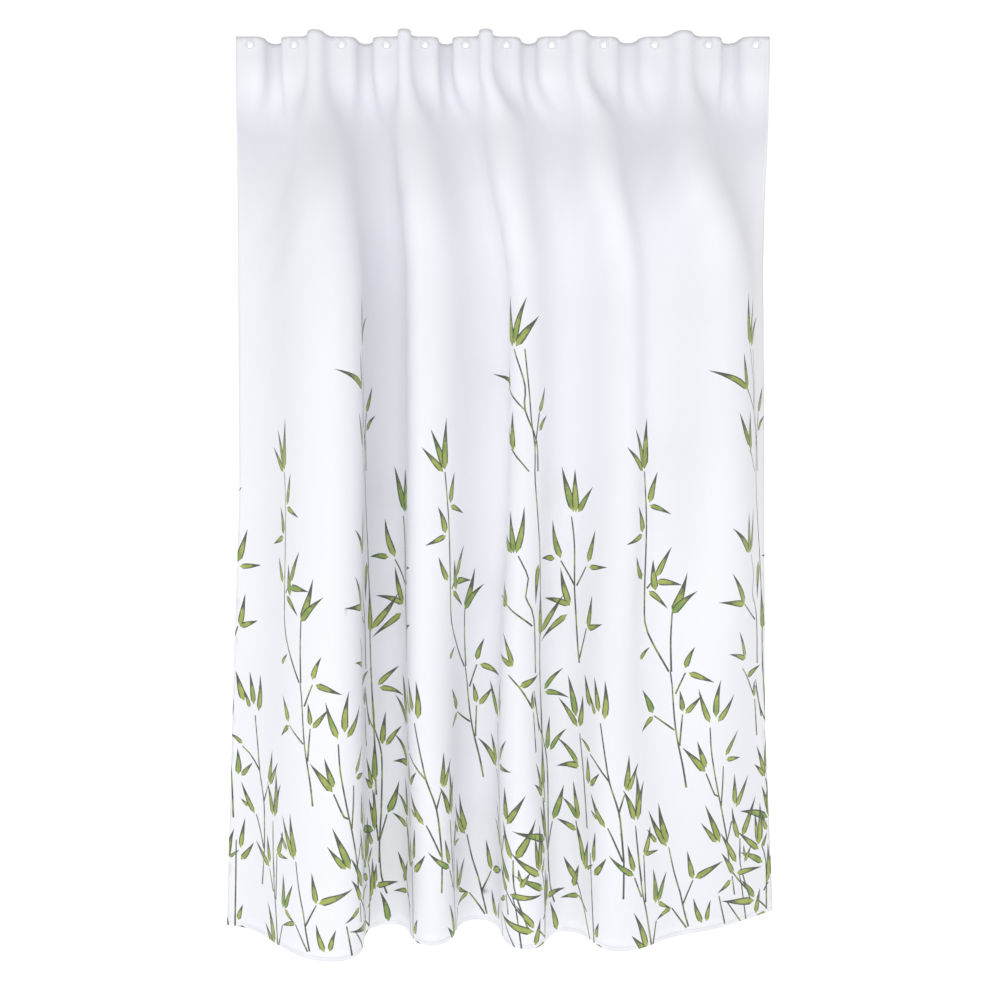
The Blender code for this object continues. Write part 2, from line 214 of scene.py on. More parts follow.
# Leaves of one repeat: foot and tip, across the repeat and up from the lower edge, in millimetres
LEAVES = (
    (630, 1310, 620, 1425), (635, 1315, 665, 1420), (640, 1310, 700, 1380), (615, 1215, 600, 1295),
    (615, 1215, 515, 1255), (625, 1090, 585, 1165), (630, 1080, 630, 1170), (60, 1165, 85, 1225),
    (60, 1125, 95, 1160), (65, 830, 60, 740), (365, 1040, 330, 1130), (360, 1035, 310, 1090),
    (365, 1040, 370, 1155), (380, 965, 395, 1035), (380, 960, 430, 940), (365, 900, 345, 960),
    (365, 895, 315, 875), (370, 795, 345, 850), (405, 800, 435, 870), (405, 770, 395, 840),
    (405, 790, 465, 785), (390, 770, 435, 730), (445, 720, 475, 815), (445, 720, 500, 775),
    (375, 620, 400, 645), (480, 600, 500, 650), (635, 855, 570, 915), (640, 855, 625, 950),
    (645, 855, 660, 960), (625, 740, 575, 815), (625, 740, 545, 750), (645, 610, 610, 680),
    (645, 610, 580, 630), (170, 940, 140, 1045), (175, 940, 170, 1040), (180, 940, 220, 1000),
    (145, 835, 120, 925), (130, 835, 80, 840), (215, 830, 235, 905), (220, 820, 275, 825),
    (170, 730, 145, 815), (170, 730, 100, 750), (90, 675, 155, 755), (165, 710, 90, 655),
    (85, 665, 80, 770), (225, 685, 235, 760), (225, 685, 270, 700), (267, 510, 252, 584),
    (282, 497, 282, 581), (256, 502, 240, 541), (329, 346, 339, 422), (333, 343, 367, 401),
    (358, 277, 358, 382), (358, 280, 382, 358), (349, 279, 322, 348), (281, 266, 240, 334),
    (261, 280, 240, 294), (243, 181, 254, 253), (245, 155, 281, 201), (341, 161, 286, 208),
    (342, 170, 328, 231), (240, 346, 270, 380), (411, 499, 383, 553), (412, 492, 380, 462),
    (488, 590, 547, 568), (478, 502, 470, 550), (484, 497, 520, 541), (540, 476, 511, 555),
    (555, 487, 563, 575), (560, 476, 606, 536), (532, 364, 478, 422), (534, 374, 512, 436),
    (586, 394, 627, 448), (589, 385, 639, 381), (619, 275, 618, 347), (622, 267, 669, 334),
    (631, 192, 609, 272), (641, 195, 693, 280), (731, 221, 635, 255), (734, 235, 714, 300),
    (734, 221, 734, 316), (573, 195, 532, 289), (563, 197, 522, 248), (438, 204, 392, 292),
    (441, 212, 421, 304), (411, 218, 385, 252), (373, 198, 395, 258), (373, 201, 416, 201),
    (400, 87, 397, 165), (407, 88, 435, 151), (407, 88, 443, 67), (443, 67, 399, 49),
    (501, 122, 488, 189), (506, 124, 581, 152), (368, -5, 336, 83), (365, -11, 329, 33),
    (520, 20, 501, 80), (532, 22, 545, 70), (604, 103, 563, 80), (612, 114, 576, 171),
    (622, 114, 705, 111), (708, 120, 635, 159), (720, 71, 734, 134), (240, 0, 307, -24),
    (242, 15, 254, 53), (20, 567, 78, 585), (54, 513, 54, 553), (107, 546, 159, 590),
    (111, 540, 174, 524), (196, 463, 148, 524), (192, 485, 170, 575), (203, 465, 213, 537),
    (117, 411, 126, 485), (126, 408, 167, 456), (196, 380, 144, 435), (198, 378, 141, 372),
    (96, 331, 98, 433), (87, 317, 61, 397), (87, 319, 52, 353), (128, 255, 157, 331),
    (190, 259, 152, 303), (193, 260, 180, 343), (184, 233, 137, 256), (240, 419, 206, 442),
    (240, 516, 218, 584), (232, 348, 228, 408), (57, 153, -12, 209), (56, 164, 48, 246),
    (59, 164, 66, 263), (85, 192, 72, 235), (67, 155, 85, 187), (11, 145, 7, 175), (-18, 139, -67, 219),
    (9, 134, 33, 168), (37, 46, -3, 94), (37, 37, -67, 60), (39, 6, 56, 63), (70, 2, 39, 0),
    (85, 80, 87, 162), (96, 100, 98, 145), (98, 93, 152, 100), (128, 6, 107, 80), (170, 105, 188, 159),
    (179, 122, 150, 171), (184, 88, 139, 77), (209, 154, 226, 225), (216, 157, 240, 176),
    (204, 162, 184, 250),
)
# Stems of one repeat, each from its top down, in the same measure
STEMS = (
    ((635, 1305), (660, 1225), (660, 1170), (690, 1100), (695, 1035)), ((660, 1170), (615, 1215)),
    ((670, 1035), (625, 1085)), ((45, 1090), (60, 1165)),
    ((20, 1305), (30, 1210), (35, 1150), (45, 1085), (45, 1035), (50, 985), (60, 915), (70, 855), (80, 750),
     (85, 620), (95, 450), (100, 300)),
    ((365, 1035), (375, 915), (380, 765), (385, 700), (405, 655), (445, 590)), ((405, 800), (385, 775)),
    ((445, 725), (445, 665), (450, 590)), ((650, 850), (675, 800), (670, 760), (695, 710), (705, 590)),
    ((625, 740), (690, 695)), ((165, 930), (175, 865), (180, 770), (185, 725), (195, 635), (200, 605)),
    ((145, 830), (180, 775)), ((210, 820), (185, 775)), ((220, 685), (200, 615)),
    ((272, 487), (286, 405), (293, 363), (311, 300), (316, 241), (318, 192)), ((325, 337), (311, 300)),
    ((351, 267), (356, 192), (361, 145)), ((286, 266), (293, 252), (316, 195)),
    ((240, 414), (261, 399), (293, 365)), ((414, 493), (461, 460)),
    ((448, 590), (453, 561), (460, 490), (466, 448), (473, 414), (481, 377), (488, 331)),
    ((481, 590), (461, 541)), ((478, 496), (473, 425)),
    ((541, 465), (547, 405), (563, 328), (575, 280), (594, 195), (599, 145)),
    ((534, 360), (557, 309), (568, 303)), ((580, 371), (580, 334), (576, 280)),
    ((699, 553), (720, 462)), ((594, 195), (608, 238)), ((635, 192), (634, 145)),
    ((314, 256), (318, 208), (316, 148), (314, 114)),
    ((351, 256), (356, 185), (363, 114), (370, 80), (383, -11)), ((342, 157), (359, 111)),
    ((371, 199), (370, 97)), ((445, 66), (481, 15)), ((399, 49), (383, -11)),
    ((443, 202), (455, 142), (468, 97), (476, 57), (486, 17)), ((501, 120), (474, 69)),
    ((608, 111), (614, 66)), ((594, 196), (599, 142), (616, 111), (660, 63), (675, 46)),
    ((634, 176), (635, 131), (663, 46)), ((734, 108), (734, 88)), ((723, 71), (708, 54)),
    ((-6, 590), (20, 564), (52, 516)), ((56, 507), (63, 419)), ((59, 538), (78, 479), (98, 445)),
    ((85, 590), (96, 482), (98, 448), (115, 391), (113, 277), (107, 195), (106, 145)),
    ((89, 314), (104, 195)), ((126, 252), (107, 195)), ((184, 255), (187, 229), (203, 164)),
    ((203, 451), (216, 340), (223, 249)), ((-12, 117), (-3, 86), (11, -28)), ((-73, 74), (-58, 6)),
    ((-49, 54), (11, -28)), ((48, 37), (74, 12)), ((67, 159), (78, 120), (74, 9)),
    ((106, 193), (111, 114), (124, 71)), ((184, 88), (209, 60)),
    ((180, 117), (196, 74), (216, 6), (221, -22)), ((232, 199), (234, -19)),
)
REPEAT_STARTS = 1066  # where one repeat starts on the cloth, in the same measure
REPEATS = range(-3, 3)  # repeats that reach the cloth
LEAF_STEPS = 7
LEAF_TIP_HALF = 0.0009
STEM_STEP = 0.022
STEM_TOP_SHARE = 0.7
SMALLEST_AREA = 1e-7
SAME_POINT = 1e-6


def sizes():
    return bpy.context.scene.curtain_sizes


def colours():
    return bpy.context.scene.curtain_colours


def ramp(low, high, value):
    """0 below low, 1 above high and a smooth rise between."""
    u = np.clip((value - low) / (high - low), 0.0, 1.0)
    return u * u * (3 - 2 * u)


def pitch():
    """From one eyelet to the next, along the cloth."""
    return (sizes().width - 2 * EDGE_TO_EYELET) / (EYELETS - 1)


def eyelet_s(i):
    """How far eyelet i is from the cloth's left edge, along the cloth."""
    return EDGE_TO_EYELET + i * pitch()


def header_slopes(fold):
    """Slope in the header: level at each eyelet's seat, with one bulge between two eyelets."""
    gap = np.abs(fold - np.round(fold))
    reach = 0.5 - (SEAT + SEAT_TURN) / pitch()
    size = np.array(BULGE)[np.clip(np.round(fold).astype(int), 0, len(BULGE) - 1)]
    inside = (gap < reach) & (fold > -0.5) & (fold < len(BULGE) - 0.5)
    return np.where(inside, size * np.sin(pi * gap / reach), 0.0)


def free_slopes(fold, slopes, lean):
    """Slope between a valley and a ridge, from its steepest value, on top of the lean at each of them."""
    between = np.array(slopes)[np.clip(np.floor(fold).astype(int) + 1, 0, len(slopes) - 1)]
    level = np.interp(fold, np.arange(len(lean)), lean)
    return np.radians(level + between * np.sin(pi * (fold - np.floor(fold))))


def fold_row(t, samples):
    """The cloth's line at a share t of the drop: x, y and the slope towards the front, along its width."""
    width = sizes().width
    s = np.linspace(0.0, width, samples)
    to_middle = ramp(HEADER_ENDS, MIDDLE_STARTS, t)
    to_hem = ramp(HEM_STARTS, 1.0, t)
    seats = 1 - ramp(HEADER_ENDS, SEATS_FADE, t)
    at_top = (np.arange(EYELETS - 1) + 0.5) * pitch() + EDGE_TO_EYELET
    lines = at_top * (1 - to_middle) + np.array(MIDDLE_FOLDS) * width * to_middle
    lines = lines * (1 - to_hem) + np.array(HEM_FOLDS) * width * to_hem
    first, last = 2 * lines[0] - lines[1], 2 * lines[-1] - lines[-2]
    fold = np.interp(s, np.concatenate([[first], lines, [last]]), np.arange(-1, EYELETS))
    side = np.where(np.floor(fold).astype(int) % 2 == 0, 1.0, -1.0)
    wave = BELOW_SEATS * np.mean(BULGE) * np.sin(pi * (fold - np.floor(fold)))
    top = side * (seats * header_slopes(fold) + (1 - seats) * wave)
    middle = free_slopes(fold, MIDDLE_SLOPES, MIDDLE_LEAN)
    hem = free_slopes(fold, HEM_SLOPES, HEM_LEAN)
    slope = (top * (1 - to_middle) + middle * to_middle) * (1 - to_hem) + hem * to_hem
    share, left, right, forward = (np.array(column) for column in zip(*HANG))
    start, end = np.interp(t, share, left), np.interp(t, share, right)
    low, high = GAIN_LOW, GAIN_HIGH
    for _ in range(GAIN_HALVINGS):  # folds as deep as it takes to hang this wide
        gain = (low + high) / 2
        if np.cos(gain * slope).mean() * width > end - start:
            low = gain
        else:
            high = gain
    slope = slope * gain
    step = s[1] - s[0]
    middle_slope = (slope[1:] + slope[:-1]) / 2
    along = np.concatenate([[0.0], np.cumsum(np.cos(middle_slope) * step)])
    ahead = np.concatenate([[0.0], np.cumsum(np.sin(middle_slope) * step)])
    return start + along, -(np.interp(t, share, forward) + ahead), slope


class Folds:
    """The hanging cloth as a surface: points of the flat cloth go to where they hang."""

    SAMPLES = 1441
    LEVELS = 241

    def __init__(self):
        rows = [fold_row(t, self.SAMPLES) for t in np.linspace(0.0, 1.0, self.LEVELS)]
        self.x, self.y, self.slope = (np.array(part) for part in zip(*rows))
        line = np.linspace(0.0, sizes().width, self.SAMPLES)
        ends = [np.interp(eyelet_s(i), line, self.x[0]) for i in (0, EYELETS - 1)]
        self.x -= sum(ends) / 2

    def read(self, table, s, t):
        """A table's values at s and t, between its rows and columns."""
        c = np.clip(s / sizes().width, 0, 1) * (self.SAMPLES - 1)
        r = np.clip(t, 0, 1) * (self.LEVELS - 1)
        c0 = np.minimum(c.astype(int), self.SAMPLES - 2)
        r0 = np.minimum(r.astype(int), self.LEVELS - 2)
        a, b = c - c0, r - r0
        above = table[r0, c0] * (1 - a) + table[r0, c0 + 1] * a
        below = table[r0 + 1, c0] * (1 - a) + table[r0 + 1, c0 + 1] * a
        return above * (1 - b) + below * b

    def hang(self, s, z, back=0.0):
        """Where the flat cloth's points (s, z) hang, moved back from the cloth's middle layer."""
        s, z = np.asarray(s, float), np.asarray(z, float)
        t = (TOP_TO_EYELET - z) / sizes().drop
        x, y, slope = (self.read(table, s, t) for table in (self.x, self.y, self.slope))
        back = back + self.creases(s, t)
        return np.stack([x + back * np.sin(slope), y + back * np.cos(slope), z], axis=-1)

    def creases(self, s, t):
        """Small, soft unevenness of the hanging cloth: none in the header, where the eyelets sit."""

        def uneven(across, aslant, down, seed):
            places = ((a * across + b * aslant, b * down, seed) for a, b in zip(s.ravel(), t.ravel()))
            return np.array([noise.noise(place) for place in places]).reshape(s.shape)

        amount = ramp(0.035, 0.12, t)
        near_top = 1 - ramp(0.1, 0.45, t)
        wide = CREASE_WIDE * uneven(9.0, 0.0, 5.0, 0.3)
        slant = (CREASE_SLANT + CREASE_SLANT_TOP * near_top) * uneven(14.0, 16.0, 12.0, 4.7)
        return amount * (wide + slant)


class Paint:
    """A socket of a node tree, for writing shader maths as expressions."""

    tree = None

    def __init__(self, socket):
        self.socket = socket

    @classmethod
    def node(cls, kind, settings=None, **inputs):
        """A node of this kind with its settings made first and its sockets then set or linked."""
        made = cls.tree.nodes.new(kind)
        for name, value in (settings or {}).items():
            setattr(made, name, value)
        for name, value in inputs.items():
            spot = int(name[1:]) if name[1:].isdigit() else name.replace("_", " ")
            if isinstance(value, Paint):
                cls.tree.links.new(value.socket, made.inputs[spot])
            else:
                made.inputs[spot].default_value = value
        return made

    def math(self, other, operation, swap=False):
        a, b = (other, self) if swap else (self, other)
        return Paint(Paint.node("ShaderNodeMath", {"operation": operation}, i0=a, i1=b).outputs[0])

    def __add__(self, other):
        return self.math(other, "ADD")

    def __sub__(self, other):
        return self.math(other, "SUBTRACT")

    def __mul__(self, other):
        return self.math(other, "MULTIPLY")

    def __rsub__(self, other):
        return self.math(other, "SUBTRACT", swap=True)

    __radd__ = __add__
    __rmul__ = __mul__


def smooth(value, low, high):
    """0 below low, 1 above high and a smooth rise between, in a material."""
    settings = {"interpolation_type": "SMOOTHSTEP"}
    made = Paint.node("ShaderNodeMapRange", settings, Value=value, From_Min=low, From_Max=high)
    return Paint(made.outputs[0])


def blend(amount, first, second):
    """The first colour, going over to the second one as amount goes from 0 to 1."""
    made = Paint.node("ShaderNodeMix", {"data_type": "RGBA"}, Factor=amount)
    for value, place in ((first, 6), (second, 7)):
        if isinstance(value, Paint):
            Paint.tree.links.new(value.socket, made.inputs[place])
        else:
            made.inputs[place].default_value = (*value, 1.0)
    return Paint(made.outputs[2])


def speckle(scale, detail, where=None, stretch=(1, 1, 1)):
    """Noise over the piece, or over where if given, stretched along an axis."""
    place = where or Paint(Paint.node("ShaderNodeTexCoord").outputs["Object"])
    placed = Paint(Paint.node("ShaderNodeMapping", None, Vector=place, Scale=stretch).outputs[0])
    return Paint(Paint.node("ShaderNodeTexNoise", None, Vector=placed, Scale=scale, Detail=detail).outputs[0])


def flat_place():
    """Where a point lies on the flat cloth, in metres."""
    return Paint(Paint.node("ShaderNodeUVMap", {"uv_map": "flat"}).outputs[0])


def new_material(name):
    """A material that Paint then writes into, and its shader."""
    made = bpy.data.materials.new(name)
    made.use_nodes = True
    Paint.tree = made.node_tree
    return made, made.node_tree.nodes["Principled BSDF"]


def bump(height, distance, strength=1.0):
    made = Paint.node("ShaderNodeBump", None, Height=height, Distance=distance, Strength=strength)
    return Paint(made.outputs[0])


def darker(tint, share):
    """This share of a colour."""
    return tuple(c * share for c in tint)


def link(shader, name, value):
    """Links a value to one of the shader's sockets."""
    Paint.tree.links.new(value.socket, shader.inputs[name])


def woven(shader, coarse=1.0):
    """Fine satin weave: long floats across the cloth, and the slight slubs of its yarns."""
    place = flat_place()
    weft = speckle(900.0 * coarse, 1.0, place, (0.25, 1.0, 1.0))
    warp = speckle(700.0 * coarse, 1.0, place, (1.0, 0.2, 1.0))
    slub = speckle(60.0, 3.0, place, (0.4, 3.0, 1.0))
    height = weft * 0.5 + warp * 0.3 + slub * 0.6
    link(shader, "Normal", bump(height, 0.00025, 0.6))
    link(shader, "Roughness", 0.42 + weft * 0.10 + slub * 0.08)
    shader.inputs["Specular IOR Level"].default_value = 0.3
    shader.inputs["Sheen Weight"].default_value = 0.04
    shader.inputs["Sheen Roughness"].default_value = 0.4


def printed_cloth(name, strength):
    """White satin with the leaf print, its ink strong on the face and faint at the back, and a painted shadow
    along the bottom hem's seam.
    """
    made, shader = new_material(name)
    look = colours()
    place = flat_place()
    print_node = Paint.node("ShaderNodeAttribute", {"attribute_name": "leaf_print"})
    parts = Paint.node("ShaderNodeSeparateColor", None, Color=Paint(print_node.outputs["Color"]))
    ink, along, across = (Paint(parts.outputs[i]) for i in range(3))
    tone = Paint(print_node.outputs["Alpha"])
    wash = speckle(95.0, 3.0, place)
    cloudy = speckle(28.0, 2.0, place)
    rim = smooth(across + wash * 0.5, 0.76, 1.00)
    tips = smooth(along + wash * 0.4 - tone * 0.1, 0.58, 0.84)
    foot = 1 - smooth(along + wash * 0.2, 0.05, 0.16)
    dark = 1 - (1 - rim * 0.92) * (1 - tips * 0.9) * (1 - foot * 0.6)
    fresh = blend(smooth(tone, 0.35, 0.95), look.leaf, FRESH_LEAF)
    pale = blend(smooth(cloudy, 0.40, 0.62), fresh, PALE_LEAF)
    leaf = blend(dark, pale, look.leaf_edge)
    stem = blend(smooth(cloudy, 0.46, 0.64), look.stem, PALE_STEM)
    inked = blend(smooth(ink, 0.70, 0.80), stem, leaf)
    white = blend(speckle(3.0, 2.0, place), look.cloth, darker(look.cloth, 0.975))
    up = Paint(Paint.node("ShaderNodeSeparateXYZ", None, Vector=place).outputs[1])
    # painted shadow along the bottom hem's row of stitches: a thin darker band in the white cloth where the
    # stitching puckers it
    seam_shade = smooth(up, *SEAM_SHADE_STARTS) * (1 - smooth(up, *SEAM_SHADE_ENDS))
    white = blend(seam_shade * 0.5, white, darker(look.cloth, 0.72))
    shows = smooth(ink, 0.20, 0.30) * strength * (0.86 + speckle(220.0, 2.0, place) * 0.14)
    link(shader, "Base Color", blend(shows, white, inked))
    woven(shader)
    return made


def plain_cloth(name, tint, coarse=1.0):
    """Woven cloth of one colour, a little uneven in tone."""
    made, shader = new_material(name)
    link(shader, "Base Color", blend(speckle(40.0, 3.0), tint, darker(tint, 0.94)))
    woven(shader, coarse)
    return made


def thread(name, tint):
    """Sewing thread: its twist shows as a fine ripple."""
    made, shader = new_material(name)
    twist = speckle(2600.0, 1.0)
    link(shader, "Base Color", blend(twist, tint, darker(tint, 0.85)))
    link(shader, "Normal", bump(twist, 0.0001))
    shader.inputs["Roughness"].default_value = 0.6
    return made


def moulded_plastic(name, tint):
    """White moulded plastic, with faint flow marks and a soft gloss."""
    made, shader = new_material(name)
    flow = speckle(90.0, 3.0)
    link(shader, "Base Color", blend(flow, tint, darker(tint, 0.95)))
    link(shader, "Roughness", 0.24 + flow * 0.14)
    link(shader, "Normal", bump(speckle(700.0, 2.0), 0.00004))
    shader.inputs["Coat Weight"].default_value = 0.2
    return made


def leaf_parts(index, shift):
    """A leaf's two halves as polygons of the flat cloth, and what is needed to shade a point of it."""
    foot_u, foot_h, tip_u, tip_h = LEAVES[index]
    chance = random.Random(index)
    foot = np.array([(REPEAT_STARTS + foot_u) / 1000 + shift, foot_h / 1000])
    tip = np.array([(REPEAT_STARTS + tip_u) / 1000 + shift, tip_h / 1000])
    length = hypot(*(tip - foot))
    along = (tip - foot) / length
    side = np.array([-along[1], along[0]])
    half = min(sizes().leaf_wide * (0.55 + 4.5 * length), 0.11 * length) * chance.uniform(0.85, 1.2)
    bend = length * chance.uniform(-0.05, 0.05)
    share = np.linspace(0.0, 1.0, LEAF_STEPS + 1)
    middle = foot + np.outer(share * length, along) + np.outer(bend * np.sin(pi * share), side)
    reach = leaf_half(share[1:-1], half)
    halves = [
        np.concatenate([middle, (middle[1:-1] + sign * reach[:, None] * side)[::-1]]) for sign in (1, -1)
    ]
    return halves, (foot, along, side, length, half, bend, chance.random())


def leaf_half(share, half):
    """Half the width of a leaf at a share of its length: widest at a third, drawn out to its tip."""
    return 3.1 * half * share**0.5 * (1 - share) ** 1.6 + LEAF_TIP_HALF


def stem_parts(stem, shift):
    """A stem as a row of four-sided polygons of the flat cloth, that narrows upwards."""
    points = [np.array([(REPEAT_STARTS + u) / 1000 + shift, h / 1000]) for u, h in stem]
    line = smooth_line(points, STEM_STEP)
    way = np.gradient(line, axis=0)
    way /= np.linalg.norm(way, axis=1)[:, None]
    side = np.stack([-way[:, 1], way[:, 0]], axis=1)
    half = sizes().stem_wide / 2 * np.linspace(STEM_TOP_SHARE, 1.0, len(line))[:, None]
    left, right = line + side * half, line - side * half
    return [np.array([left[k], left[k + 1], right[k + 1], right[k]]) for k in range(len(line) - 1)]


def smooth_line(points, step):
    """Points about one step apart on a smooth curve through the given ones."""
    ends = [2 * points[0] - points[1], *points, 2 * points[-1] - points[-2]]
    line = []
    for a, b, c, d in zip(ends, ends[1:], ends[2:], ends[3:]):
        count = max(1, round(hypot(*(c - b)) / step))
        square, cube = 2 * a - 5 * b + 4 * c - d, 3 * b - a - 3 * c + d
        for u in (k / count for k in range(count)):
            line.append(0.5 * (2 * b + (c - a) * u + square * u**2 + cube * u**3))
    return np.array([*line, points[-1]])


def print_parts():
    """The whole print as polygons of the flat cloth: (polygon, leaf to shade it by, or None for a stem)."""
    shifts = [number * sizes().repeat for number in REPEATS]
    parts = [(part, None) for shift in shifts for stem in STEMS for part in stem_parts(stem, shift)]
    for shift in shifts:
        for index in range(len(LEAVES)):
            halves, leaf = leaf_parts(index, shift)
            parts += [(half, leaf) for half in halves]
    limits = ((0, 0.0, 1), (0, sizes().width, -1), (1, 0.0, 1))
    cut = [(clipped(polygon, limits), leaf) for polygon, leaf in parts]
    return [(polygon, leaf) for polygon, leaf in cut if len(polygon) > 2 and area(polygon) > SMALLEST_AREA]


def clipped(polygon, limits):
    """The part of a flat polygon inside these limits, each an axis, a value and its inner side."""
    for axis, value, sign in limits:
        kept = []
        for a, b in zip(polygon, np.roll(polygon, -1, axis=0)):
            inner_a, inner_b = (sign * (point[axis] - value) >= 0 for point in (a, b))
            if inner_a:
                kept.append(a)
            if inner_a != inner_b:
                kept.append(a + (b - a) * (value - a[axis]) / (b[axis] - a[axis]))
        polygon = np.array(kept)
        if len(polygon) < 3:
            return []
    return polygon


def area(polygon):
    """Area of a flat polygon."""
    after = np.roll(polygon, -1, axis=0)
    return abs(float((polygon[:, 0] * after[:, 1] - polygon[:, 1] * after[:, 0]).sum() / 2))


def print_colour(point, leaf):
    """What a corner of the print tells its material: ink, along the leaf, across it, and its tone."""
    foot, along, side, length, half, bend, tone = leaf
    share = min(max(float((point - foot) @ along) / length, 0.0), 1.0)
    off = abs(float((point - foot) @ side) - bend * sin(pi * share))
    room = float(leaf_half(min(max(share, 0.02), 0.98), half))
    return 1.0, share, min(off / room, 1.0), tone


def hole_middles():
    """Where the eyelets sit in the flat cloth: along it, and up from its lower edge."""
    return [(eyelet_s(i), sizes().drop - TOP_TO_EYELET) for i in range(EYELETS)]


def barrel_holes():
    """The holes for the eyelets' barrels, in the flat cloth."""
    turns = np.linspace(0, 2 * pi, HOLE_SIDES, endpoint=False)
    ring = (BARREL_R + HOLE_ROOM) * np.stack([np.cos(turns), np.sin(turns)], axis=1)
    return [np.array(middle) + ring for middle in hole_middles()]


def flat_grid(columns, rows, holes):
    """Points of the flat cloth to cut it through; where it has holes, more of them round each one."""
    flat = [(s, h) for s in columns for h in rows]
    if holes:
        middles = hole_middles()
        for s, h in middles:
            flat += [(s + a * SEAT, h + b * SEAT) for a in (-1, 1) for b in (-1, -0.3, 0.3, 1)]
            turns = [k * pi / 6 for k in range(12)]
            flat += [(s + HOLE_RING_R * cos(turn), h + HOLE_RING_R * sin(turn)) for turn in turns]
        clear = BARREL_R + HOLE_CLEARING
        flat = [p for p in flat if min(hypot(p[0] - s, p[1] - h) for s, h in middles) > clear]
    return [p for p in flat if columns[0] <= p[0] <= columns[-1] and rows[0] <= p[1] <= rows[-1]]


def paint_print(mesh, points, triangles, leaves):
    """Writes the print onto the mesh: leaves holds a leaf, or None for a stem, by triangle number."""
    colour = np.zeros((len(triangles) * 3, 4))
    for row, leaf in leaves.items():
        for corner, point in enumerate(points[triangles[row]]):
            ink = print_colour(point, leaf) if leaf else (STEM_INK, 0.5, 0.0, 0.5)
            colour[row * 3 + corner] = ink
    layer = mesh.color_attributes.new("leaf_print", "FLOAT_COLOR", "CORNER")
    layer.data.foreach_set("color", colour.reshape(-1))


def cut_cloth(name, columns, rows, back=0.0, holes=(), parts=(), thick=None, materials=()):
    """A piece of cloth cut on the flat, hung in its folds and given its thickness."""
    flat = flat_grid(columns, rows, holes)
    outlines = [*holes, *(polygon for polygon, _ in parts)]
    edges = []
    for outline in outlines:
        count = len(outline)
        edges += [(len(flat) + k, len(flat) + (k + 1) % count) for k in range(count)]
        flat += [tuple(point) for point in outline]
    cut = delaunay_2d_cdt([Vector(point) for point in flat], edges, [], 0, SAME_POINT, False)
    points, triangles = np.array([tuple(point) for point in cut[0]]), np.array(cut[2])
    top = topmost(points[triangles].mean(axis=1), outlines)
    kept = ((top < 0) | (top >= len(holes))) & ~flattened(points[triangles], columns, rows)
    triangles, top = triangles[kept], top[kept] - len(holes)
    used = np.unique(triangles)
    renumber = np.full(len(points), -1)
    renumber[used] = np.arange(len(used))
    places = points[used]
    offset = back(places[:, 1]) if callable(back) else back
    mesh = bpy.data.meshes.new(name)
    mesh.from_pydata(flat_hang(places, offset).tolist(), [], renumber[triangles].tolist())
    uv = mesh.uv_layers.new(name="flat")
    uv.data.foreach_set("uv", points[triangles].reshape(-1))
    if parts:
        paint_print(mesh, points, triangles, {row: parts[top[row]][1] for row in np.flatnonzero(top >= 0)})
    piece = in_scene(name, mesh)
    finish_cloth(piece, thick or sizes().thick, materials)
    return piece


def topmost(centres, outlines):
    """For each point, the last of the flat outlines that it lies in, or a negative number."""
    found = np.full(len(centres), -1)
    for number, outline in enumerate(outlines):
        low, high = outline.min(axis=0), outline.max(axis=0)
        near = np.flatnonzero(((centres > low) & (centres < high)).all(axis=1))
        x, y = centres[near].T
        inside = np.zeros(len(near), bool)
        for (ax, ay), (bx, by) in zip(outline, np.roll(outline, -1, axis=0)):
            if ay != by:
                inside ^= ((ay > y) != (by > y)) & (x < (bx - ax) * (y - ay) / (by - ay) + ax)
        found[near[inside]] = number
    return found


def flattened(corners, columns, rows):
    """Triangles that lie wholly along one border of the flat cloth, and so have no area."""
    borders = ((0, columns[0]), (0, columns[-1]), (1, rows[0]), (1, rows[-1]))
    along = [(np.abs(corners[:, :, axis] - value) < SAME_POINT).all(axis=1) for axis, value in borders]
    return np.logical_or.reduce(along)


def finish_cloth(piece, thick, materials):
    """Faces forward and smooth, then thickness; a second material goes on the back."""
    shape = bmesh.new()
    shape.from_mesh(piece.data)
    if sum(face.normal.y * face.calc_area() for face in shape.faces) > 0:
        bmesh.ops.reverse_faces(shape, faces=shape.faces)
    for face in shape.faces:
        face.smooth = True
    shape.to_mesh(piece.data)
    shape.free()
    for material in materials:
        piece.data.materials.append(material)
    wall = piece.modifiers.new("Thickness", "SOLIDIFY")
    wall.thickness = thick
    wall.offset = 0.0
    wall.material_offset = len(materials) - 1


_made = {"sewn": []}  # folds, materials, the cloth and what is sewn to it, shared by the operators


def folds():
    """The hanging cloth, worked out the first time it is asked for."""
    if "folds" not in _made:
        _made["folds"] = Folds()
    return _made["folds"]


def material(name, maker, *values):
    """This material, made the first time it is asked for."""
    if name not in _made:
        _made[name] = maker(name, *values)
    return _made[name]


def soft(piece, *nodes, finish=None):
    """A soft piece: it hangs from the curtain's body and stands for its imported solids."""
    if nodes:
        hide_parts(*nodes)
    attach(piece, "curtain")
    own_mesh(piece)


def sewn(piece, *nodes, finish=None):
    """A soft piece that is sewn to the cloth."""
    soft(piece, *nodes, finish=finish)
    _made["sewn"].append(piece)


def in_scene(name, data):
    """A new object in the scene."""
    made = bpy.data.objects.new(name, data)
    bpy.context.collection.objects.link(made)
    return made


def grid(start, end, count):
    """Ends of count equal steps."""
    return np.linspace(start, end, count + 1).tolist()


